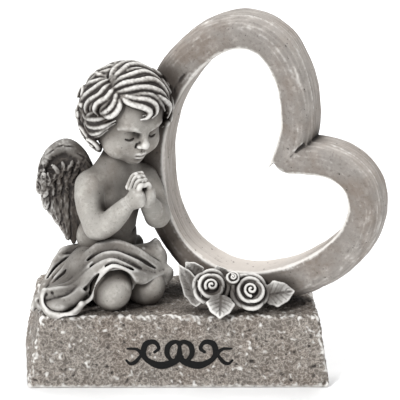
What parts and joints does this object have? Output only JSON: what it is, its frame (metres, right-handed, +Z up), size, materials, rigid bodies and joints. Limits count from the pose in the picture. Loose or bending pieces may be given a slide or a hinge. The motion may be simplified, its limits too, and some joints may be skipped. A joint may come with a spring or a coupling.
{
  "type": "resin angel figurine",
  "caption": "Kneeling winged cherub at prayer beside an open tilted heart, with roses at its foot, on a tapered rough-cut plinth with a painted scroll.",
  "frame": {"origin": "centre of the plinth's flat underside", "axes": "+X to the figure's side that holds the heart, +Y to the rear, +Z up; the front with the scroll faces -Y"},
  "size_m": [0.1589, 0.0682, 0.1621],
  "materials": {
    "resin_body": "cast polyresin, antiqued stone grey with dark wash in the hollows",
    "resin_trim": "cast polyresin, lighter dry-brushed grey",
    "black_paint": "black enamel filling the engraved scroll",
    "steel_pin": "plain drawn wire"
  },
  "bodies": {
    "root": {"plinth": "resin_body", "front_flourish": "black_paint", "heart_ring": "resin_body", "heart_dowel_left": "steel_pin", "heart_dowel_right": "steel_pin", "torso": "resin_body", "head": "resin_body", "hair": "resin_body", "right_arm": "resin_body", "left_arm": "resin_body", "right_hand": "resin_body", "left_hand": "resin_body", "right_leg": "resin_body", "left_leg": "resin_body", "drape": "resin_body", "right_wing": "resin_body", "left_wing": "resin_body", "rose_left": "resin_trim", "rose_right": "resin_trim", "rose_bud": "resin_trim", "leaf_front": "resin_trim", "leaf_left": "resin_trim", "leaf_left_back": "resin_trim", "leaf_middle": "resin_trim", "leaf_right": "resin_trim"}
  },
  "joints": []
}
